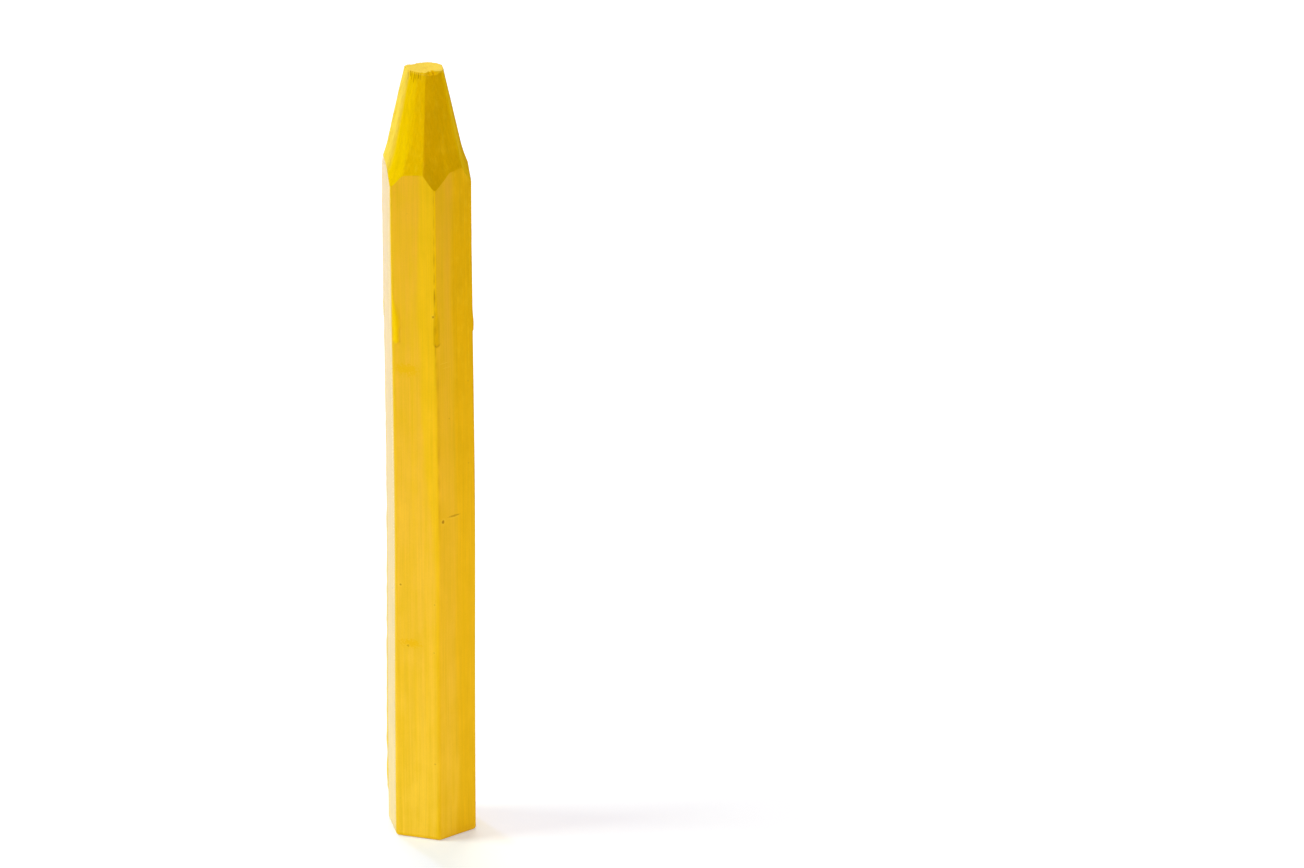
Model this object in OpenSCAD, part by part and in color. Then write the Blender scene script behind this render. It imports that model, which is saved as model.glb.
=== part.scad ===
// Marking chalk: a six-sided stick of wax-bound chalk, moulded in one piece.
// Its tip is tapered by a ring of twelve facets and cut flat at the end, and it
// stands on its flat base. Millimetres, +Z up, with the origin at the middle of
// the base. One flat side faces -Y.

/* [Stick] */
// Width across two opposite flat sides
across_flats = 12.2; // [8:0.1:20]
// Whole length, from the base to the cut end of the tip
stick_length = 120; // [80:1:180]
// Radius that softens the six long edges
long_edge_radius = 0.6; // [0.2:0.1:1.5]
// Radius that softens the rim of the base
base_rim_radius = 0.5; // [0.2:0.1:1]

/* [Tip] */
// Width across two opposite facets at the cut end
cut_end_width = 5.1; // [3:0.1:7]
// Lean of the facets towards the stick's axis, in degrees
facet_lean = 12; // [8:0.5:16]
// Height of the straight part of the facets, down from the cut end
straight_height = 11.4; // [6:0.2:20]
// Radius of the hollow that runs each facet out into the sides
run_out_radius = 21.4; // [10:0.2:40]
// Turn of the ring of facets from the flat sides, in degrees
facet_turn = 3; // [-10:0.5:10]

/* [Hidden] */

sides = 6;
facets = 12;
side_step = 360 / sides;
facet_step = 360 / facets;
// Distances from the axis to a flat side and to the sharp corner between two
side_distance = across_flats / 2;
corner_distance = side_distance / cos(side_step / 2);
// How far each cutter reaches past what it cuts
past = 1;
cutter_width = 2 * across_flats;
// Flat strips that stand for each curve of the run-out and of the base rim
run_out_strips = 8;
rim_strips = 4;
$fn = 48;

// Points at even steps along an arc
function arc(centre, radius, from, to, strips) =
    [for (i = [0:strips])
        let (a = from + (to - from) * i / strips)
        centre + radius * [cos(a), sin(a)]];

// Cross-section of the stick: a hexagon whose corners are rounded
module rounded_hexagon() {
    rounding_centre = (side_distance - long_edge_radius) / cos(side_step / 2);
    polygon([for (i = [0:sides - 1], half_turn = [-side_step / 2, side_step / 2])
        let (corner = i * side_step, tangent = corner + half_turn)
        rounding_centre * [cos(corner), sin(corner)]
        + long_edge_radius * [cos(tangent), sin(tangent)]]);
    for (i = [0:sides - 1])
        rotate(i * side_step)
            translate([rounding_centre, 0])
                circle(r = long_edge_radius);
}

// Stands an outline drawn as [distance from the axis, height] on its feet
module across_axis() {
    rotate([90, 0, 0])
        linear_extrude(cutter_width, center = true)
            children();
}

// What lies outside one facet: a straight slope, then a hollow that runs out
module facet_waste() {
    straight_end = [cut_end_width / 2 + straight_height * tan(facet_lean),
        stick_length - straight_height];
    hollow_centre = straight_end + run_out_radius * [cos(facet_lean), sin(facet_lean)];
    still_to_cut = max(0, corner_distance - straight_end.x);
    run_out_lean = acos(cos(facet_lean) - (still_to_cut + past) / run_out_radius);
    hollow = arc(hollow_centre, run_out_radius,
        180 + facet_lean, 180 + run_out_lean, run_out_strips);
    above_end = [cut_end_width / 2 - past * tan(facet_lean), stick_length + past];
    across_axis()
        polygon(concat([above_end], hollow,
            [[cutter_width, hollow[run_out_strips].y], [cutter_width, above_end.y]]));
}

// What lies outside the rounded rim of the base along one side
module rim_waste() {
    rim_centre = [side_distance - base_rim_radius, base_rim_radius];
    rim = arc(rim_centre, base_rim_radius, 270, 360, rim_strips);
    across_axis()
        polygon(concat([[rim[0].x, -past]], rim,
            [[cutter_width, base_rim_radius], [cutter_width, -past]]));
}

module chalk_stick() {
    color([0.9, 0.71, 0.14])
        difference() {
            linear_extrude(stick_length)
                rounded_hexagon();
            for (i = [0:facets - 1])
                rotate(i * facet_step + facet_turn)
                    facet_waste();
            for (i = [0:sides - 1])
                rotate((i + 0.5) * side_step)
                    rim_waste();
        }
}

chalk_stick();
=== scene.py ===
import bpy
import math
import numpy as np
from mathutils import Euler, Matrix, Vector


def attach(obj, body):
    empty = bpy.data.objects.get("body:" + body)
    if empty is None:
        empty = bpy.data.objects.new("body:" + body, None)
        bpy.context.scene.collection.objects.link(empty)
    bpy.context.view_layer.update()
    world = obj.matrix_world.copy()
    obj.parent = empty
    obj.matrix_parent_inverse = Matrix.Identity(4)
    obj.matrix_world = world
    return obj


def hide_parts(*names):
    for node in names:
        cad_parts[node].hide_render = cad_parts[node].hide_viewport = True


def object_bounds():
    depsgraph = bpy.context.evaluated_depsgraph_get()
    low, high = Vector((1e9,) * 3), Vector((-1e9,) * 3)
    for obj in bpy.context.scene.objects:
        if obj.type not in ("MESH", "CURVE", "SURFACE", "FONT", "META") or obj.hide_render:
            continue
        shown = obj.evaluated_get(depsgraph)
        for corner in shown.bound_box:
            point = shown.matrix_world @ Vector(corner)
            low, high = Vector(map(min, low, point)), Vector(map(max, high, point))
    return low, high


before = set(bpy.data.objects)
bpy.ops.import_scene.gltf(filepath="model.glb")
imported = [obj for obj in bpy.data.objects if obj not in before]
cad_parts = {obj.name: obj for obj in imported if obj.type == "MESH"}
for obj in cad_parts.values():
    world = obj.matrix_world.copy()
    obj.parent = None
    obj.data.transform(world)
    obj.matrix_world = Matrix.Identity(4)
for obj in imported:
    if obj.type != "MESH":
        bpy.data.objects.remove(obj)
cad_low, cad_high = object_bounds()


# ---- Camera
# A long lens looks down on the stick from its front right. It is turned a
# little to the right of the stick, which then stands left of the middle.

view_turn = math.radians(20.08)
view_rise = math.radians(21.29)
view_distance = 1.6
turned_aside = math.radians(1.2664)
turned_up = math.radians(0.0828)

stick_middle = (cad_low + cad_high) / 2
towards_camera = Vector((
    math.sin(view_turn) * math.cos(view_rise),
    -math.cos(view_turn) * math.cos(view_rise),
    math.sin(view_rise),
))
camera = bpy.data.objects.new("camera", bpy.data.cameras.new("camera"))
camera.data.sensor_width = 36
camera.data.lens = 298.4
camera.data.clip_start = 0.05
camera.data.clip_end = 20
camera.location = stick_middle + view_distance * towards_camera
camera.rotation_euler = Euler((
    math.pi / 2 - view_rise + turned_up,
    0,
    view_turn - turned_aside,
))
bpy.context.scene.collection.objects.link(camera)
bpy.context.scene.camera = camera
bpy.context.scene.view_settings.view_transform = "Standard"


# ---- Floor and room
# A plain white floor in a bright, even room. The floor's paint is lifted to
# white for the camera alone, and it still takes the stick's soft shadow.

floor_reach = 3
floor_paint = (0.82, 0.82, 0.82, 1)
floor_lift = 0.3
lift_colour = (0.95, 1.03, 1.08, 1)
room_light = (0.40, 0.367, 0.35, 1)
white = (1, 1, 1, 1)


def white_rays(nodes, links):
    """1 where a ray comes from the camera, a reflection or a refraction, and 0 elsewhere."""
    light_path = nodes.new("ShaderNodeLightPath")
    seen = light_path.outputs["Is Camera Ray"]
    for other in ("Is Glossy Ray", "Is Transmission Ray"):
        either = nodes.new("ShaderNodeMath")
        either.operation = "MAXIMUM"
        links.new(seen, either.inputs[0])
        links.new(light_path.outputs[other], either.inputs[1])
        seen = either.outputs[0]
    return seen


floor_mesh = bpy.data.meshes.new("floor")
floor_corners = floor_reach * np.array([[-1, -1, 0], [1, -1, 0], [1, 1, 0], [-1, 1, 0]])
floor_mesh.from_pydata(floor_corners.tolist(), [], [[0, 1, 2, 3]])
floor = bpy.data.objects.new("floor", floor_mesh)
bpy.context.scene.collection.objects.link(floor)

floor_material = bpy.data.materials.new("white_floor")
floor_material.use_nodes = True
nodes, links = floor_material.node_tree.nodes, floor_material.node_tree.links
nodes.clear()
paint = nodes.new("ShaderNodeBsdfDiffuse")
paint.inputs["Color"].default_value = floor_paint
lift = nodes.new("ShaderNodeEmission")
lift.inputs["Color"].default_value = lift_colour
lift_strength = nodes.new("ShaderNodeMath")
lift_strength.operation = "MULTIPLY"
lift_strength.inputs[1].default_value = floor_lift
links.new(white_rays(nodes, links), lift_strength.inputs[0])
links.new(lift_strength.outputs[0], lift.inputs["Strength"])
both = nodes.new("ShaderNodeAddShader")
links.new(paint.outputs[0], both.inputs[0])
links.new(lift.outputs[0], both.inputs[1])
surface = nodes.new("ShaderNodeOutputMaterial")
links.new(both.outputs[0], surface.inputs["Surface"])
floor_mesh.materials.append(floor_material)

room = bpy.data.worlds.new("bright_room")
bpy.context.scene.world = room
room.use_nodes = True
nodes, links = room.node_tree.nodes, room.node_tree.links
nodes.clear()
air = nodes.new("ShaderNodeBackground")
brightness = nodes.new("ShaderNodeMix")
brightness.data_type = "RGBA"
brightness.inputs["A"].default_value = room_light
brightness.inputs["B"].default_value = white
links.new(white_rays(nodes, links), brightness.inputs["Factor"])
links.new(brightness.outputs["Result"], air.inputs["Color"])
sky = nodes.new("ShaderNodeOutputWorld")
links.new(air.outputs[0], sky.inputs["Surface"])


# ---- Lamps
# Four square softboxes aimed at the stick: the strongest high on its left, a small
# low one close to its front right, a high one behind it, and a small one close
# behind its left that skims that side.


def softbox(name, turn, rise, distance, width, strength, colour):
    """Add a square lamp that faces the stick's middle.

    Turn and rise are its direction in degrees, as the camera's are. A white
    surface that faces the lamp shows the strength as its brightness, because
    the lamp's power is strength times pi squared times distance squared.
    """
    turn, rise = math.radians(turn), math.radians(rise)
    towards_lamp = Vector((
        math.sin(turn) * math.cos(rise), -math.cos(turn) * math.cos(rise), math.sin(rise),
    ))
    lamp = bpy.data.objects.new(name, bpy.data.lights.new(name, "AREA"))
    lamp.data.size = width
    lamp.data.energy = strength * (math.pi * distance) ** 2
    lamp.data.color = colour
    lamp.location = stick_middle + distance * towards_lamp
    lamp.rotation_euler = towards_lamp.to_track_quat("Z", "Y").to_euler()
    lamp.visible_camera = False
    bpy.context.scene.collection.objects.link(lamp)


softbox(
    "left_lamp", turn=-67, rise=38, distance=3, width=1.2,
    strength=0.505, colour=(0.97, 1.11, 1),
)
softbox(
    "front_lamp", turn=38, rise=-20, distance=0.15, width=0.05,
    strength=0.43, colour=(1, 0.695, 0.48),
)
softbox(
    "back_lamp", turn=-160, rise=60, distance=3, width=1.2,
    strength=0.34, colour=(1, 0.9, 0.8),
)
softbox(
    "rim_lamp", turn=-130, rise=14, distance=0.35, width=0.04,
    strength=0.22, colour=(0.66, 0.96, 2.1),
)


# ---- Chalk stick
# One solid stick of wax-bound chalk, cast in a six-sided mould. Its tip was cut
# by hand to a ring of twelve facets and snapped off flat, which left a ragged
# rim. A pale bloom of wax lies on the moulded sides, but not on the cut facets.

mm = 0.001
stick_length = cad_high.z - cad_low.z
side_distance = (cad_high.y - cad_low.y) / 2
corner_distance = side_distance / math.cos(math.pi / 6)

# The moulded sides, anticlockwise from +X: the angle that each faces, and its
# distance from the axis, which falls a hair short on two of them. Then the angles
# of the long edges between them
side_angle = np.radians([30, 90, 150, 210, 270, 329.7])
side_distances = side_distance - mm * np.array([0.04, 0, 0, 0, 0, 0.055])
edge_angles = np.radians([0, 60, 120, 180, 240, 299.4])
edge_softness = 0.134 * mm
base_rim_radius = 0.5 * mm

# The stick bows to its right below the middle, and its top leans to its left
bow, bow_height, bow_spread = 0.2 * mm, 52 * mm, 24 * mm
lean, lean_from, lean_to = 0.08 * mm, 70 * mm, 100 * mm
bow_direction = math.radians(20)

# Each facet, anticlockwise from +X: the angle that it faces in degrees, its
# distance from the axis at the cut end in mm, and its lean in degrees. The one at
# 252 degrees is a sliver that blunts the ridge between its neighbours.
facets = [
    (11, 2.59, 11.4), (28, 2.50, 12.4), (64, 2.60, 11.8), (85, 2.55, 12.2),
    (123, 2.52, 12.4), (156, 3.00, 11.6), (177, 3.40, 11.2), (216, 2.66, 12.5),
    (236, 2.42, 12.2), (252, 2.48, 12.9), (267, 2.55, 12.4), (307, 2.63, 11.5),
    (327, 2.51, 12.8),
]
facet_angle, end_distance, facet_lean = np.array(facets).T
facet_angle = np.radians(facet_angle)
end_distance = end_distance * mm
facet_lean = np.radians(facet_lean)
straight_height = 11.4 * mm
run_out_radius = 20.3 * mm
ridge_softness = 0.02 * mm

# Each long edge, anticlockwise from +X, has a run of bare wax that the mould's
# joint left: the height of its round lower end, the length of its wide drop, the
# drop's half width, how far it lies past the edge and how far it stands out, in
# mm; then how far its crest lies off its middle line, as a share of its half
# width, and how dark its painted shade is, from 0 to 1
runs = [
    (79.6, 3.5, 0.40, 0.1, 0.14, 0.3, 0.1), (81.2, 5.0, 0.50, -0.2, 0.16, -0.5, 0.0),
    (78.2, 6.5, 0.45, 0.2, 0.16, 0.5, 0.1), (80.4, 4.0, 0.30, 0.1, 0.06, 0.3, 0.0),
    (78.8, 8.0, 0.45, 0.60, 0.15, 0.8, 0.0), (79.0, 7.0, 0.46, 0.13, 0.10, -0.3, 0.34),
]

# Above this share of its length, a drop narrows to a thread. Its width wavers by
# this share of itself, over this length. Its outline is darkened with painted shade,
# more so on a darker run, and a darker drop has more painted shade by this share at its lower end
drop_share = 0.45
thread_width = 0.10 * mm
run_waver, run_wave = 0.12, 2.5 * mm
run_border = 0.05 * mm
outline_width = 2.4 * run_border
outline_shade, outline_darkness, lower_darkness = 0.08, 0.7, 0.45

# The mould's joint also left a thin fin on the edge at 180 degrees, from a nick
# near the base upwards: its height at each of these heights up the stick, in mm
fin_at = [0, 4.4, 5.2, 14, 22, 40, 60, 100]
fin_out = [0, 0, 0.20, 0.20, 0.18, 0.16, 0.08, 0.05]
fin_angle, fin_width = math.radians(180), math.radians(2.2)
fin_waver, fin_wave = 0.25, 6 * mm
fin_fade = 3 * mm

# How many points go round the stick, and how many rings each part of it has
around = 320
base_rings, rim_rows, body_rows, tip_rows, end_rings = 6, 6, 160, 84, 22


def bell(value, middle, width):
    """A bell-shaped curve: e to minus the square of how many widths the value is off its middle."""
    return np.exp(-(((value - middle) / width) ** 2))


def smooth_step(low, high, value):
    """0 below low, 1 above high, and an even S-shaped curve between them."""
    share = np.clip((value - low) / (high - low), 0, 1)
    return share * share * (3 - 2 * share)


def window(value, rise_from, rise_to, fall_from, fall_to):
    """1 between two borders and 0 outside them, rising and falling as smooth steps."""
    return smooth_step(rise_from, rise_to, value) * smooth_step(fall_to, fall_from, value)


def crowded(low, high, count, places, width, closeness):
    """Count values from low to high, evenly spaced but closer together near each place.

    Their density is 1 plus the closeness times a bell-shaped curve at each place.
    """
    fine = np.linspace(low, high, 40 * count)
    density = 1 + closeness * bell(fine[:, None], np.asarray(places), width).sum(1)
    filled = np.concatenate([[0], np.cumsum((density[1:] + density[:-1]) / 2)])
    return np.interp(np.linspace(0, filled[-1], count), filled, fine)


def waves(angle, height, across, along, seed, count=30):
    """Random smooth waves round and up the stick, mostly between -1 and 1.

    It is a sum of sines, each in a random direction. Their lengths are near
    across and along, and a whole number of each fits round the stick.
    """
    draw = np.random.default_rng(seed)
    around_stick = 2 * math.pi * side_distance
    turns = np.rint(draw.normal(0, around_stick / across, count))
    climbs = draw.normal(0, 2 * math.pi / along, count)
    starts = draw.uniform(0, 2 * math.pi, count)
    phase = angle[..., None] * turns + height[..., None] * climbs + starts
    return np.sin(phase).sum(-1) / math.sqrt(count)


def waves_up(height, along, seed):
    """The same waves at one angle, so that they change with height alone."""
    return waves(0 * height, height, mm, along, seed)


def waves_round(angle, across, seed):
    """The same waves at one height, so that they change with the angle alone."""
    return waves(angle, 0 * angle, across, 1, seed)


def off_angle(angle, place):
    """How far an angle is past a place round the stick, from minus half a turn to half a turn."""
    return (angle - place + math.pi) % (2 * math.pi) - math.pi


def least_reach(angle, facing, distance, softness):
    """Distance from the axis, at an angle, to the nearest of a ring of flat faces.

    A face's reach is its distance over the cosine of the angle to its normal.
    The least of the reaches is taken softly, which rounds the edges between them.
    """
    each = distance / np.maximum(np.cos(angle[..., None] - facing), 0.3)
    least = each.min(-1, keepdims=True)
    near = np.exp((least - each) / softness).sum(-1)
    return least[..., 0] - softness * np.log(near)


def side_reach(angle):
    """Distance from the axis to the six moulded sides, and to the soft edges between them."""
    return least_reach(angle, side_angle, side_distances, edge_softness)


def tip_reach(angle, height):
    """Distance from the axis to the cut facets, at an angle and a height.

    Each facet is a straight slope below the cut end and then a hollow arc that
    flares outwards, and the nearest of them all is the tip's.
    """
    below_end = (stick_length - height)[..., None]
    straight = end_distance + below_end * np.tan(facet_lean)
    centre_out = (
        end_distance
        + straight_height * np.tan(facet_lean)
        + run_out_radius * np.cos(facet_lean)
    )
    centre_down = straight_height - run_out_radius * np.sin(facet_lean)
    drop = np.clip((below_end - centre_down) / run_out_radius, 0, 0.999)
    hollow = centre_out - run_out_radius * np.sqrt(1 - drop**2)
    distance = np.where(below_end < straight_height, straight, hollow)
    return least_reach(angle, facet_angle, distance, ridge_softness)


def run_out_height(angle):
    """Height at which the facets meet the sides.

    Two guesses, one on the sides and one on the facets, are brought together by
    halving the span between them 40 times.
    """
    side = side_reach(angle)
    low = np.full_like(angle, stick_length * 0.7)
    high = np.full_like(angle, stick_length)
    for _ in range(40):
        middle = (low + high) / 2
        still_side = tip_reach(angle, middle) > side
        low = np.where(still_side, middle, low)
        high = np.where(still_side, high, middle)
    return low


def wax_runs(angle, height):
    """How deep each point is inside a wax run's outline, how high the run stands, and its painted
    shade.

    A run is a thread down a long edge that widens into a drop with a round lower
    end. Its depth is its half width less the distance to its middle line, and its
    cross-section is a half ellipse that leans towards its crest. Painted shade darkens
    the outline on the crest's side and at the lower end, under the raised run.
    """
    depth = np.full_like(height, -1.0)
    stands, dirt_and_shade = np.zeros_like(height), np.zeros_like(height)
    for place, (lower_end, length, wide, past, out, crest, darkness) in zip(edge_angles, runs):
        up = height - lower_end * mm
        narrowed = smooth_step(drop_share * length * mm, length * mm, up)
        width = wide * mm * (1 - narrowed) + thread_width * narrowed
        width = width * (1 + run_waver * waves_up(height, run_wave, int(10 * lower_end)))
        off_line = off_angle(angle, place) * corner_distance - past * mm * (1 - narrowed)
        inside = width - np.hypot(off_line, np.minimum(up - wide * mm, 0))
        dome = np.sqrt(1 - (1 - np.clip(inside / width, 0, 1)) ** 2)
        dome = dome * (1 + crest * np.clip(off_line / width, -1, 1))
        stands = stands + out * mm * dome * width / (wide * mm)
        shaded_side = smooth_step(-0.4, 0.6, off_line / width * np.sign(crest))
        shaded_side = np.maximum(shaded_side, smooth_step(wide * mm, 0.2 * wide * mm, up))
        outline = shaded_side * (1 - narrowed) * bell(inside, 0, outline_width)
        darkened = darkness * (1 - narrowed) * smooth_step(-run_border, run_border, inside)
        near_end = smooth_step(1.1 * wide * mm, 0.4 * wide * mm, up)
        darkened = darkened * (1 + lower_darkness * near_end)
        dirt_and_shade = np.maximum(dirt_and_shade, (outline_shade + outline_darkness * darkness) * outline + darkened)
        depth = np.maximum(depth, inside)
    return depth, stands, dirt_and_shade


# The points crowd round the long edges and the ridges of the tip
ridge_angles = (facet_angle + np.append(facet_angle[1:], facet_angle[0] + 2 * math.pi)) / 2
crowds = np.concatenate([edge_angles, [2 * math.pi], ridge_angles])
angles = crowded(
    0, 2 * math.pi, around + 1, places=crowds, width=math.radians(4), closeness=2.5
)[:-1]
degrees = np.degrees(angles)
side_outline = side_reach(angles)
crease = run_out_height(angles)

rounding = np.linspace(0, math.pi / 2, rim_rows + 1)[:, None]
base_share = np.linspace(0, 1, base_rings + 1)[1:-1, None]
base_reach = base_share * (side_outline - base_rim_radius)
rim_reach = side_outline - base_rim_radius * (1 - np.sin(rounding))
rim_height = base_rim_radius * (1 - np.cos(rounding)) + 0 * side_outline

# The body's rings crowd at its ends, at the fin's nick and at the runs' lower ends
body_share = crowded(0, 1, body_rows, places=[0, 0.06, 0.76, 1], width=0.02, closeness=3)
body_height = base_rim_radius + body_share[1:, None] * (crease - base_rim_radius)
run_depth, run_height, run_shade = wax_runs(angles, body_height)
fin = mm * np.interp(body_height, mm * np.array(fin_at), fin_out)
fin = fin * bell(off_angle(angles, fin_angle), 0, fin_width)
fin = fin * (1 + fin_waver * waves_up(body_height, fin_wave, 8))
body_reach = side_outline + run_height + fin * smooth_step(0, fin_fade, crease - body_height)

# The rim of the cut end is broken away. At each angle in degrees, this is how far
# the break goes in from the facet, and how far down it, in mm. The breaks waver by
# these shares of themselves, over these lengths, and are never less than a trace
rim_break = [
    (0, 0.06, 0.04), (60, 0.08, 0.05), (105, 0.14, 0.08), (135, 0.25, 0.12),
    (150, 0.80, 0.30), (163, 0.55, 0.26), (172, 0.12, 0.06), (205, 0.05, 0.03),
    (236, 0.07, 0.03), (252, 0.16, 0.05), (265, 0.24, 0.08), (284, 0.38, 0.13),
    (292, 0.58, 0.20), (304, 0.90, 0.34), (318, 0.98, 0.36), (327, 1.04, 0.34),
    (332, 0.64, 0.28), (339, 0.30, 0.16), (345, 0.04, 0.05),
]
in_waver, in_wave, least_in = 0.22, 0.7 * mm, 0.03 * mm
down_waver, down_wave, least_down = 0.25, 0.5 * mm, 0.02 * mm
break_angle, break_in, break_down = np.array(rim_break).T
break_angle = np.radians(break_angle)
broken_in = mm * (1 + in_waver * waves_round(angles, in_wave, 3))
broken_in = broken_in * np.interp(angles, break_angle, break_in, period=2 * math.pi)
broken_in = np.maximum(broken_in, least_in)
broken_down = mm * (1 + down_waver * waves_round(angles, down_wave, 4))
broken_down = broken_down * np.interp(angles, break_angle, break_down, period=2 * math.pi)
broken_down = np.maximum(broken_down, least_down)

tip_share = crowded(0, 1, tip_rows, places=[0, 1], width=0.06, closeness=4)
tip_height = crease + tip_share[1:, None] * (stick_length - broken_down - crease)
from_end = stick_length - tip_height

# The blade wandered, so the facets' ridges sway by about this angle, over this
# length, apart from the straight ridge at the front and the foot of every facet
ridge_sway, sway_length = math.radians(1.6), 5 * mm
straight_ridge = math.radians(287)
straight_to, swaying_from = math.radians(6), math.radians(20)
still_foot = 2 * mm
sway = ridge_sway * waves(angles, tip_height, sway_length, sway_length, 17)
sway = sway * smooth_step(0, still_foot, tip_height - crease)
off_ridge = np.abs(off_angle(angles, straight_ridge))
sway = sway * smooth_step(straight_to, swaying_from, off_ridge)
tip_wall = np.minimum(tip_reach(angles + sway, tip_height), side_outline)

# The blade pushed a low lip of wax out of the cut end's left side: the angle that
# it is at and how far it spreads, in degrees, and how tall it is and stands out
lip_angle, lip_spread = 222, 12
lip_height, lip_out = 0.5 * mm, 0.22 * mm
lip = lip_out * bell(degrees, lip_angle, lip_spread)
tip_wall = tip_wall + lip * smooth_step(lip_height, 0, from_end)

# Short marks run down from the rim, where the last of the blade's strokes dragged.
# They are the crests of a sine round the stick, unevenly spaced and unevenly long.
# Then come the angles in degrees, and the shares of a mark's length, between which
# they fade in and out again
scores_round, spacing_waver, spacing_wave = 41, 1.2, 3 * mm
score_depth, score_length = 0.05 * mm, 1.35 * mm
usual_length, length_waver, length_wave = 0.8, 0.3, 1 * mm
scored_between = (212, 226, 276, 288)
scored_down = (-0.5, 0.4, 0.85, 1.1)
score_phase = angles * scores_round + spacing_waver * waves_round(angles, spacing_wave, 5)
score = np.maximum(np.sin(score_phase), 0) ** 2
score_reach = usual_length + length_waver * waves_round(angles, length_wave, 9)
score_reach = score_length * score_reach
score = score * window(from_end / score_reach, *scored_down)
score = score * window(degrees, *scored_between)
tip_wall = tip_wall - score_depth * score

# The cut end dips between these shares of the break's width to the broken rim, and
# inside it is a little bumpy. Its rings crowd towards the rim by this power
dip_from, dip_to = 1.1, 0.1
end_bump, bump_across, bump_inwards = 0.02 * mm, 3 * mm, 0.8 * mm
bumpy_from = 0.3 * mm
ring_power = 0.8
end_share = np.linspace(1, 0, end_rings + 1)[1:-1, None] ** ring_power
end_reach = end_share * tip_wall[-1]
from_rim = tip_wall[-1] - end_reach
past_dip = smooth_step(dip_to, dip_from, from_rim / broken_in)
end_height = stick_length - broken_down * (1 - past_dip)
bumps = end_bump * waves(angles, end_reach, bump_across, bump_inwards, 6)
end_height = end_height + bumps * smooth_step(0, bumpy_from, from_rim)

zones = [base_reach, rim_reach, body_reach, tip_wall, end_reach]
reach = np.concatenate(zones)
height = np.concatenate([0 * base_reach, rim_height, body_height, tip_height, end_height])
row_count = len(reach)
points = np.stack([reach * np.cos(angles), reach * np.sin(angles), height], -1)
poles = np.array([[0, 0, 0], [0, 0, stick_length]])
vertices = np.concatenate([points.reshape(-1, 3), poles])
aside = bow * bell(vertices[:, 2], bow_height, bow_spread)
aside = aside - lean * smooth_step(lean_from, lean_to, vertices[:, 2])
vertices[:, 0] += aside * math.cos(bow_direction)
vertices[:, 1] += aside * math.sin(bow_direction)

row, column = np.meshgrid(np.arange(row_count - 1), np.arange(around), indexing="ij")
beside = (column + 1) % around
quads = np.stack([
    row * around + column,
    row * around + beside,
    (row + 1) * around + beside,
    (row + 1) * around + column,
], -1).reshape(-1, 4)
ring = np.arange(around)
next_on_ring = (ring + 1) % around
last_row = (row_count - 1) * around
base_pole, end_pole = row_count * around, row_count * around + 1
base_fan = np.stack([np.full(around, base_pole), next_on_ring, ring], -1)
end_fan = np.stack([
    np.full(around, end_pole), last_row + ring, last_row + next_on_ring,
], -1)

sharpest_smooth = math.radians(32)
stick_mesh = bpy.data.meshes.new("stick")
stick_mesh.from_pydata(
    vertices.tolist(), [], quads.tolist() + base_fan.tolist() + end_fan.tolist()
)
stick_mesh.shade_smooth()
stick_mesh.set_sharp_from_angle(angle=sharpest_smooth)
stick = bpy.data.objects.new("stick", stick_mesh)
bpy.context.scene.collection.objects.link(stick)

# The bloom is rubbed thin on the long edges and past a wavy line down each side.
# These are the line's places at the top and the foot of each side, anticlockwise
# from +X, where -1 and 1 are the side's edges; how far past it the side is rubbed to
# bare wax, which is less low down and more high up; and how thick the bloom is before it.
# On the front right side, at 329.7 degrees, the thin bloom and the bare wax past the
# line are painted shade, which is darker and more orange high up
rubbed_at_top = np.array([-0.1, 0.3, 0.0, 0.5, 0.25, -0.1])
rubbed_at_foot = np.array([0.3, 0.1, 0.5, 0.6, 0.9, 0.0])
rubbed_bare_and_shade = np.array([0.3, 0.1, 0.0, 0.2, 0.0, 0.7])
most_bloom = np.array([0.7, 0.8, 0.85, 0.85, 0.85, 0.6])
rubbed_bloom, edge_bloom = 0.25, 0.7
edge_worn_to, edge_worn_from = 0.6 * mm, 0.1 * mm
less_low_down, more_high_up = 0.5, 0.4
line_waver, line_wave, line_border = 0.12, 30 * mm, 0.12
side_span = math.radians(60)
side_here = (angles // side_span).astype(int)
off_side = (angles % side_span - side_span / 2) / (side_span / 2)
low_down = smooth_step(0.6 * stick_length, 0.3 * stick_length, body_height)
high_up = smooth_step(66 * mm, 84 * mm, body_height)
rub_line = rubbed_at_top[side_here] * (1 - low_down) + rubbed_at_foot[side_here] * low_down
rub_line = rub_line + line_waver * waves_up(body_height, line_wave, 12)
past_line = smooth_step(-line_border, line_border, off_side - rub_line)
off_edge = np.abs(off_angle(angles[:, None], edge_angles)).min(1) * corner_distance
on_flat = smooth_step(edge_worn_from, edge_worn_to, off_edge)
body_bloom = rubbed_bloom * past_line + most_bloom[side_here] * (1 - past_line)
body_bloom = body_bloom * (edge_bloom + (1 - edge_bloom) * on_flat)
# On the front right side this bare share is painted shade
body_bare_and_shade = rubbed_bare_and_shade[side_here] * past_line * (1 - less_low_down * low_down)
body_bare_and_shade = body_bare_and_shade * (1 + more_high_up * high_up)

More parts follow.
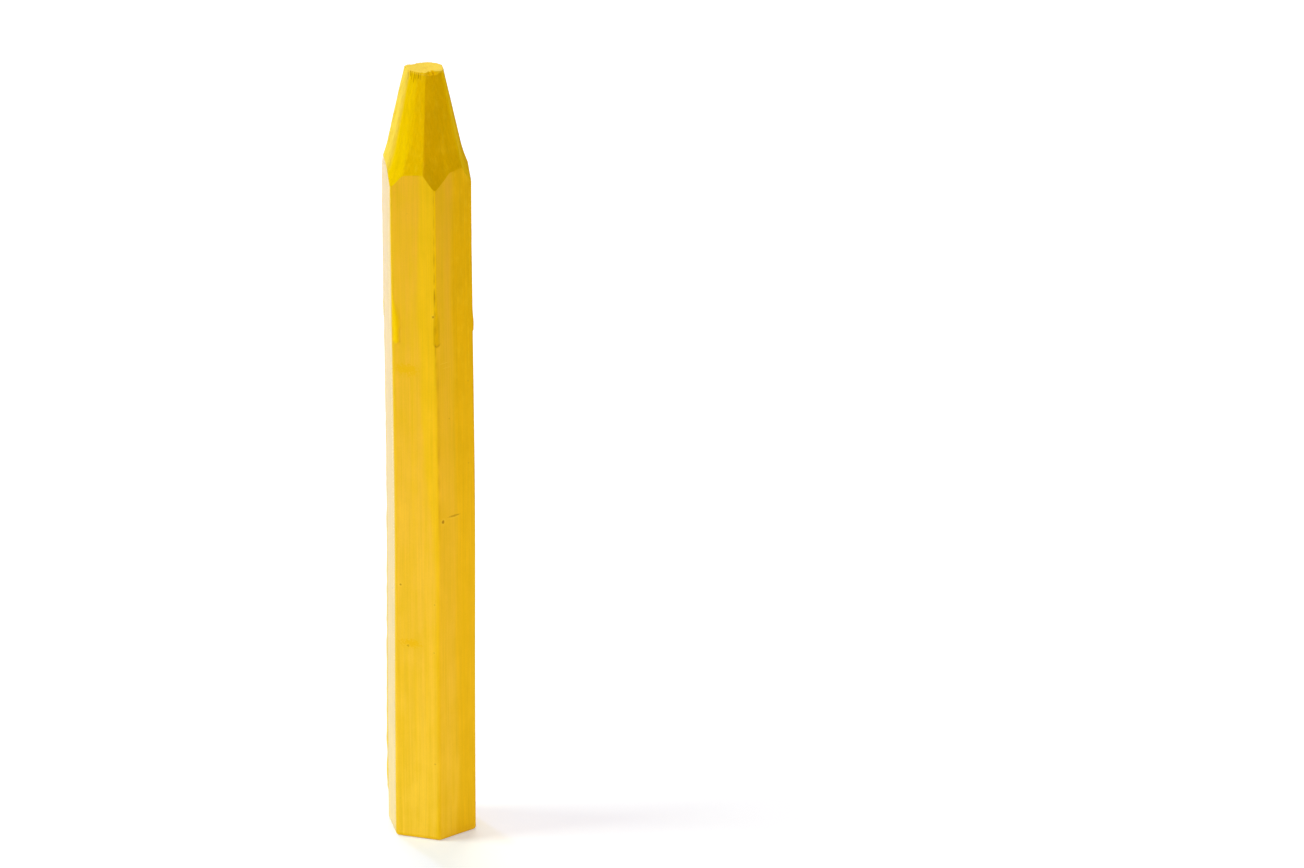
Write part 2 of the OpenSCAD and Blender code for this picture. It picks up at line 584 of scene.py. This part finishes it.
# The body is darkened with painted shade on its runs, and in a thin line of painted
# shade beside the thread on the front right edge, and it is soiled in a faint smear
# down that edge below its run. The line and the smear each lie this far past the
# edge and are this wide; then come the heights at which they fade in and out, and
# how dark they are and how much that wavers
past_edge = off_angle(angles, edge_angles[5]) * corner_distance
edge_shade_place, edge_shade_width = -0.02 * corner_distance, 0.13 * mm
edge_shade_from, edge_shade_faint_from = (70 * mm, 84 * mm), (86 * mm, 96 * mm)
edge_shade_darkness, edge_shade_even, edge_shade_waver, edge_shade_wave = 0.7, 0.6, 0.5, 3 * mm
edge_shade_fainter, edge_shade_less_on_run = 0.5, 0.6
smear_place, smear_width = 0.1 * mm, 0.22 * mm
smear_between = (44 * mm, 56 * mm, 74 * mm, 78 * mm)
smear_dirt, smear_waver, smear_wave = 0.16, 0.12, 5 * mm
body_run = smooth_step(-run_border, run_border, run_depth)
# A thin line of painted shade beside the front right edge
edge_shade = bell(past_edge, edge_shade_place, edge_shade_width) * smooth_step(*edge_shade_from, body_height)
edge_shade = edge_shade * (edge_shade_even + edge_shade_waver * waves_up(body_height, edge_shade_wave, 14))
edge_shade = edge_shade * (1 - edge_shade_fainter * smooth_step(*edge_shade_faint_from, body_height))
edge_shade = edge_shade_darkness * edge_shade * (1 - edge_shade_less_on_run * body_run)
smear = bell(past_edge, smear_place, smear_width) * window(body_height, *smear_between)
smear = smear * (smear_dirt + smear_waver * waves_up(body_height, smear_wave, 15))
body_dirt_and_shade = np.clip(run_shade + edge_shade + smear, 0, 1)

# Broken wax is paler: it shows in the middle of the cut end, and as crumbs just
# under the tip's rim. The same pale colour is painted sheen on the fin and on the
# tip's leftmost facets, between these angles in degrees. It is palest where the fin
# is this tall
pale_height, most_pale = 0.1 * mm, 0.9
painted_sheen_between, crumbed_rim, rim_crumbs = (150, 180, 216, 230), (0.4 * mm, 0.1 * mm), 0.4
usual_paleness, paleness_waver, paleness_wave = 0.85, 0.15, 2 * mm
unbroken_to, broken_from = 0.8, 1.25
pale_fin = most_pale * np.clip(fin / pale_height, 0, 1)
crumbs_and_painted_sheen = window(degrees, *painted_sheen_between) + rim_crumbs * smooth_step(*crumbed_rim, from_end)
uneven = usual_paleness + paleness_waver * waves(angles, from_end, mm, paleness_wave, 21)
crumbs_and_painted_sheen = most_pale * (np.clip(crumbs_and_painted_sheen, 0, 1) * uneven)
broken_face = smooth_step(unbroken_to, broken_from, from_rim / broken_in)

# The tip's left facets are painted lighter where they face the lamp, as painted
# light, up to the angle in degrees that is given here for each depth below the end in
# mm, and its border is wavy. It shows by these shares at these angles, which rise
# again to a painted highlight along the ridge near 246 degrees, and less near the end
lit_down = [0, 2, 5, 9, 12.6, 15.2, 17.4]
lit_border = [258, 261, 266, 266, 259, 254, 250]
border_waver, border_wave, border_blur = 1.5, 2 * mm, 1.5
lit_at, lit_share = [222, 226, 234, 240, 246], [0, 1, 0.7, 0.35, 0.65]
upper_lit, lower_lit_from = 0.6, (7 * mm, 11 * mm)
lit_to = np.interp(from_end, mm * np.array(lit_down), lit_border)
lit_to = lit_to + border_waver * waves_up(from_end, border_wave, 18)
lower_tip = smooth_step(*lower_lit_from, from_end)
painted_light_left = smooth_step(border_blur, -border_blur, degrees - lit_to)
painted_light_left = painted_light_left * (upper_lit + (1 - upper_lit) * lower_tip)
painted_light_left = painted_light_left * np.interp(degrees, lit_at, lit_share)

# A painted highlight lies along the right edge of the tip, round this angle and by this share,
# within these angles of it
highlight_facet, highlight_share = math.radians(356), 0.8
highlight_full_to, highlight_from = 8, 14
off_facet = np.degrees(np.abs(off_angle(angles, highlight_facet)))
painted_highlight_right = highlight_share * smooth_step(highlight_from, highlight_full_to, off_facet)
cut_without_painted_light = 1 - (painted_light_left + painted_highlight_right)

# The marks under the rim hold dirt, and where they meet the rim their darkness is
# also painted shadow under the rim's lip. The tip's front right holds a little dirt
# too, between these angles in degrees and this far below the end
mark_dirt_and_shadow, dull_dirt = 0.95, 0.16
dull_between, dull_below = (286.5, 288.5, 314, 320), (3.5 * mm, 6.5 * mm)
dulled = window(degrees, *dull_between) * smooth_step(*dull_below, from_end)
tip_dirt_and_shade = np.maximum(mark_dirt_and_shadow * score, dull_dirt * dulled)


def lay_on(name, *zone_values):
    """Give every point of the mesh its value of one surface layer, mostly from 0 to 1.

    The values go zone by zone, for the base, its rim, the body, the tip and the
    cut end. Each is one number, or one for each point of its zone, and each pole
    takes the value of the ring beside it.
    """
    rings = np.concatenate([value + 0 * zone for value, zone in zip(zone_values, zones)])
    layer = stick_mesh.attributes.new(name, "FLOAT", "POINT")
    layer.data.foreach_set("value", np.append(rings, [rings[0, 0], rings[-1, 0]]))


# The bare wax layer is also painted shade on the front right side, and on the tip, where it is less
# than 1, the wax is painted lighter as painted light
lay_on("bare_wax_and_painted_light", 0, 0, body_bare_and_shade, cut_without_painted_light, 1)
lay_on("wax_run", 0, 0, body_run, 1, 0)
# The broken layer is also painted sheen on the fin and the tip's leftmost facets
lay_on("broken_and_sheen", 0, 0, pale_fin, crumbs_and_painted_sheen, broken_face)
lay_on("bloom", 0.8, 0.3, body_bloom, 0, 0)
# The soiled layer holds dirt, and also the painted shade of the runs, of the line beside the front
# right edge and under the rim
lay_on("dirt_and_shade_share", 0, 0, body_dirt_and_shade, tip_dirt_and_shade, 0)

# The colours of the wax: where the blade cut it; where it ran, which on the tip's
# facets is painted light; where the bloom is rubbed off it; of the bloom at the top,
# and lower down and at the foot, where it is lighter as painted light from the floor;
# of broken wax, which is also painted sheen on the fin and the tip's leftmost facets;
# of the cut wax's mottling; and of dirt, which is also painted shade on the runs and
# beside the front right edge
bare_colour = (0.86, 0.53, 0.0, 1)
run_and_painted_light_colour = (0.97, 0.65, 0.0, 1)
rubbed_colour = (0.90, 0.595, 0.003, 1)
upper_bloom_colour = (0.87, 0.505, 0.020, 1)
lower_lit_bloom_colour = (0.89, 0.58, 0.043, 1)
foot_lit_bloom_colour = (0.95, 0.66, 0.045, 1)
broken_and_sheen_colour = (0.97, 0.70, 0.096, 1)
mottled_colour = (0.93, 0.62, 0.012, 1)
dirt_and_shade_colour = (0.46, 0.225, 0.0, 1)

chalk = bpy.data.materials.new("wax_chalk")
chalk.use_nodes = True
chalk_nodes, chalk_links = chalk.node_tree.nodes, chalk.node_tree.links
skin = chalk_nodes["Principled BSDF"]
skin.inputs["Specular IOR Level"].default_value = 0.025
skin.inputs["Sheen Weight"].default_value = 0.95
skin.inputs["Sheen Tint"].default_value = (1, 1, 0.95, 1)
skin.inputs["Sheen Roughness"].default_value = 0.27


def put(value, socket):
    """Set a socket to a number or a colour, or link another node's output to it."""
    if isinstance(value, bpy.types.NodeSocket):
        chalk_links.new(value, socket)
    else:
        socket.default_value = value


def arithmetic(operation, first, second):
    """One Math node: the first value and the second, added, multiplied or otherwise combined."""
    step = chalk_nodes.new("ShaderNodeMath")
    step.operation = operation
    put(first, step.inputs[0])
    put(second, step.inputs[1])
    return step.outputs[0]


def layer_of(name):
    """The value that the mesh carries under this name."""
    reader = chalk_nodes.new("ShaderNodeAttribute")
    reader.attribute_name = name
    return reader.outputs["Fac"]


def grain(across, along, detail, shift):
    """Noise from 0 to 1, with features near across wide and along tall, in metres."""
    placed = chalk_nodes.new("ShaderNodeMapping")
    chalk_links.new(place.outputs["Object"], placed.inputs["Vector"])
    placed.inputs["Scale"].default_value = (1 / across, 1 / across, 1 / along)
    placed.inputs["Location"].default_value = (shift, shift, shift)
    noise = chalk_nodes.new("ShaderNodeTexNoise")
    noise.inputs["Scale"].default_value = 1
    noise.inputs["Detail"].default_value = detail
    chalk_links.new(placed.outputs["Vector"], noise.inputs["Vector"])
    return noise.outputs["Fac"]


def span(value, low, high, to_low, to_high):
    """Carry a value from one range to another, and hold it at the ends."""
    mapped = chalk_nodes.new("ShaderNodeMapRange")
    put(value, mapped.inputs["Value"])
    ends = {"From Min": low, "From Max": high, "To Min": to_low, "To Max": to_high}
    for name, number in ends.items():
        put(number, mapped.inputs[name])
    return mapped.outputs["Result"]


def mix(share, first, second, way="MIX"):
    """Mix two colours in a way that Blender names."""
    mixed = chalk_nodes.new("ShaderNodeMix")
    mixed.data_type = "RGBA"
    mixed.blend_type = way
    put(share, mixed.inputs["Factor"])
    put(first, mixed.inputs["A"])
    put(second, mixed.inputs["B"])
    return mixed.outputs["Result"]


def multiply_all(value, grains, low, high):
    """Multiply a value by each grain, carried from low and high to 1 less and 1 plus its share."""
    for noise, share in grains:
        value = arithmetic("MULTIPLY", value, span(noise, low, high, 1 - share, 1 + share))
    return value


place = chalk_nodes.new("ShaderNodeTexCoord")
height_reader = chalk_nodes.new("ShaderNodeSeparateXYZ")
chalk_links.new(place.outputs["Object"], height_reader.inputs[0])

# The bloom lies in drawn streaks, from how the stick slid out of its mould
wide_streaks = grain(across=1.2 * mm, along=45 * mm, detail=2, shift=3)
fine_streaks = grain(across=0.22 * mm, along=12 * mm, detail=2, shift=11)
clouds = grain(across=3.0 * mm, along=5.0 * mm, detail=4, shift=23)
powder = grain(across=0.22 * mm, along=0.22 * mm, detail=3, shift=31)
bloom_grains = ((wide_streaks, 0.4), (fine_streaks, 0.15), (clouds, 0.3))
bloom_thick = multiply_all(layer_of("bloom"), bloom_grains, 0.3, 0.7)

# The bloom is painted lighter towards the foot, as painted light from the floor; its colour changes
# from its foot past this share of its height
lower_lit_bloom_at = 0.3
bloom_with_painted_bounce = chalk_nodes.new("ShaderNodeValToRGB")
chalk_links.new(
    span(height_reader.outputs["Z"], 0, stick_length, 0, 1), bloom_with_painted_bounce.inputs["Fac"]
)
bloom_with_painted_bounce.color_ramp.elements[0].color = foot_lit_bloom_colour
bloom_with_painted_bounce.color_ramp.elements[1].color = upper_bloom_colour
bloom_with_painted_bounce.color_ramp.elements.new(lower_lit_bloom_at).color = lower_lit_bloom_colour
body_colour = mix(bloom_thick, rubbed_colour, bloom_with_painted_bounce.outputs["Color"])
# The tip takes the runs' colour, which there is painted light where the bare wax layer is less than
# 1
wax_colour = mix(layer_of("wax_run"), body_colour, run_and_painted_light_colour)
wax_colour = mix(layer_of("bare_wax_and_painted_light"), wax_colour, bare_colour)

# Bare and cut wax is mottled by small paler spots, where its filler shows
most_mottling = 0.55
filler = grain(across=0.55 * mm, along=1.3 * mm, detail=3, shift=47)
mottling = span(filler, 0.48, 0.72, 0, most_mottling)
mottling = arithmetic("MULTIPLY", mottling, layer_of("bare_wax_and_painted_light"))
wax_colour = mix(mottling, wax_colour, mottled_colour)
# Broken wax, and painted sheen on the fin and the tip's leftmost facets
wax_colour = mix(layer_of("broken_and_sheen"), wax_colour, broken_and_sheen_colour)

# All of it is a little uneven in shade
shade_grains = ((wide_streaks, 0.02), (clouds, 0.04), (powder, 0.02))
shade = span(fine_streaks, 0.25, 0.75, 0.95, 1.05)
shade = multiply_all(shade, shade_grains, 0.25, 0.75)
shade_colour = chalk_nodes.new("ShaderNodeCombineColor")
for channel in ("Red", "Green", "Blue"):
    chalk_links.new(shade, shade_colour.inputs[channel])
wax_colour = mix(1.0, wax_colour, shade_colour.outputs["Color"], "MULTIPLY")


def spot(side, along, up, half_width, half_height, ragged):
    """1 inside a small ragged oval on one side of the stick and 0 outside it.

    The oval lies on the side whose normal is at this angle in degrees, and its
    middle and half sizes are in mm. Noise pushes its outline in and out.
    """
    turn = math.radians(side)
    placed = chalk_nodes.new("ShaderNodeMapping")
    placed.vector_type = "TEXTURE"
    placed.inputs["Location"].default_value = (
        side_distance * math.cos(turn) - along * mm * math.sin(turn),
        side_distance * math.sin(turn) + along * mm * math.cos(turn),
        up * mm,
    )
    placed.inputs["Rotation"].default_value = (0, 0, turn + math.pi / 2)
    placed.inputs["Scale"].default_value = (half_width * mm, spot_depth, half_height * mm)
    chalk_links.new(place.outputs["Object"], placed.inputs["Vector"])
    far_out = chalk_nodes.new("ShaderNodeVectorMath")
    far_out.operation = "LENGTH"
    chalk_links.new(placed.outputs["Vector"], far_out.inputs[0])
    outline = arithmetic("ADD", far_out.outputs["Value"], span(powder, 0.3, 0.7, -ragged, ragged))
    return span(outline, 0.75, 1.25, 1, 0)


# Marks from handling. Each is given as the angle that its side faces in degrees;
# its place along the side and up the stick, and its half width and half height, in
# mm; and how ragged it is. The first few are patches where the bloom is wiped off.
# A scratch or a speck ends with how much dirt it holds. A scratch has a pale lip
# below it, by this many of its half heights, and a speck has a pale halo, this many
# times its size, and each shows by its share
wiped = [
    (270, -1.0, 31.4, 1.3, 0.6, 0.7), (270, -1.2, 74.9, 1.4, 0.8, 0.8),
    (30, 0.8, 58.0, 1.3, 0.8, 0.7), (90, -1.2, 22.0, 0.9, 1.6, 0.7),
    (150, 0.4, 66.0, 1.5, 0.6, 0.7),
]
scratched = [
    (330, -0.5, 51.6, 1.0, 0.15, 0.3, 0.6), (330, -2.0, 76.2, 0.9, 0.07, 0.3, 0.0),
    (330, -1.7, 75.4, 0.8, 0.06, 0.3, 0.0), (90, 1.0, 71.0, 1.2, 0.09, 0.3, 0.3),
    (30, -0.6, 49.0, 0.8, 0.08, 0.3, 0.3), (150, 1.2, 27.0, 1.1, 0.09, 0.3, 0.4),
]
specked = [
    (330, -2.61, 51.1, 0.25, 0.28, 0.3, 0.9), (270, -2.50, 40.6, 0.16, 0.16, 0.3, 0.7),
    (270, -1.40, 31.0, 0.18, 0.16, 0.3, 0.5), (270, 2.84, 38.0, 0.12, 0.16, 0.3, 0.35),
    (270, 2.72, 30.3, 0.12, 0.12, 0.3, 0.35), (270, 2.75, 12.4, 0.14, 0.12, 0.3, 0.4),
    (270, 2.96, 83.6, 0.16, 0.2, 0.3, 0.8), (30, -1.9, 34.0, 0.20, 0.20, 0.3, 0.7),
    (90, 0.6, 47.0, 0.18, 0.24, 0.3, 0.8), (210, 1.2, 39.0, 0.17, 0.22, 0.3, 0.7),
    (150, -1.6, 55.0, 0.20, 0.22, 0.3, 0.7), (150, 2.1, 84.0, 0.14, 0.14, 0.3, 0.5),
]
spot_depth = 2 * mm
wiped_share = 0.8
lip_below, lip_share = 1.6, 0.5
halo_size, halo_share = 2, 0.4
for mark in wiped:
    wiped_here = arithmetic("MULTIPLY", spot(*mark), wiped_share)
    wax_colour = mix(wiped_here, wax_colour, bare_colour)
dirt_and_shade = layer_of("dirt_and_shade_share")
for side, along, up, half_width, half_height, ragged, dirt in scratched:
    pale_lip = spot(side, along, up - lip_below * half_height, half_width, half_height, ragged)
    pale_lip = arithmetic("MULTIPLY", pale_lip, lip_share)
    wax_colour = mix(pale_lip, wax_colour, foot_lit_bloom_colour)
    groove = spot(side, along, up, half_width, half_height, ragged)
    dirt_and_shade = arithmetic("MAXIMUM", dirt_and_shade, arithmetic("MULTIPLY", groove, dirt))
for side, along, up, half_width, half_height, ragged, dirt in specked:
    halo = spot(side, along, up, halo_size * half_width, halo_size * half_height, ragged)
    halo = arithmetic("MULTIPLY", halo, halo_share)
    wax_colour = mix(halo, wax_colour, foot_lit_bloom_colour)
    speck = spot(side, along, up, half_width, half_height, ragged)
    dirt_and_shade = arithmetic("MAXIMUM", dirt_and_shade, arithmetic("MULTIPLY", speck, dirt))

# Fine pits are sparse all over, and hold a little dirt where the clouds are thick
pit_spacing = 3.2 * mm
most_pitted = 0.5
pits = chalk_nodes.new("ShaderNodeTexVoronoi")
pits.inputs["Scale"].default_value = 1 / pit_spacing
chalk_links.new(place.outputs["Object"], pits.inputs["Vector"])
pitted = span(pits.outputs["Distance"], 0.02, 0.05, 1, 0)
pitted = arithmetic("MULTIPLY", pitted, span(clouds, 0.5, 0.6, 0, most_pitted))
dirt_and_shade = arithmetic("MAXIMUM", dirt_and_shade, pitted)
# Dirt, and painted shade on the runs, beside the front right edge and under the rim, darken the
# colour here
wax_colour = mix(dirt_and_shade, wax_colour, dirt_and_shade_colour)
chalk_links.new(wax_colour, skin.inputs["Base Color"])

# Bare wax is rougher than bloom by this much
bare_roughness = 0.25
roughness = span(powder, 0.2, 0.8, 0.18, 0.28)
rougher = arithmetic("MULTIPLY", layer_of("bare_wax_and_painted_light"), bare_roughness)
roughness = arithmetic("ADD", roughness, rougher)
chalk_links.new(roughness, skin.inputs["Roughness"])

# The streaks and the powder stand out a little, and the dirty and shaded marks lie in
powder_relief = 0.4
relief = chalk_nodes.new("ShaderNodeBump")
relief.inputs["Distance"].default_value = 0.02 * mm
relief.inputs["Strength"].default_value = 0.6
relief_height = arithmetic("ADD", fine_streaks, arithmetic("MULTIPLY", powder, powder_relief))
relief_height = arithmetic("SUBTRACT", relief_height, dirt_and_shade)
chalk_links.new(relief_height, relief.inputs["Height"])
chalk_links.new(relief.outputs["Normal"], skin.inputs["Normal"])

# The knife left the tip's facets and its cut end less silky than the moulded sides
cut_chalk = chalk.copy()
cut_chalk.name = "cut_wax_chalk"
cut_skin = cut_chalk.node_tree.nodes["Principled BSDF"]
cut_skin.inputs["Specular IOR Level"].default_value = 0
cut_skin.inputs["Sheen Weight"].default_value = 0.3
cut_skin.inputs["Sheen Tint"].default_value = (1, 0.85, 0.15, 1)
stick_mesh.materials.append(chalk)
stick_mesh.materials.append(cut_chalk)
first_cut_row = len(base_reach) + len(rim_reach) + len(body_reach) - 1
face_material = np.zeros(len(stick_mesh.polygons), dtype=np.int32)
face_material[:len(quads)] = row.ravel() >= first_cut_row
face_material[-around:] = 1
stick_mesh.polygons.foreach_set("material_index", face_material)

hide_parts("chalk_stick")
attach(stick, "root")
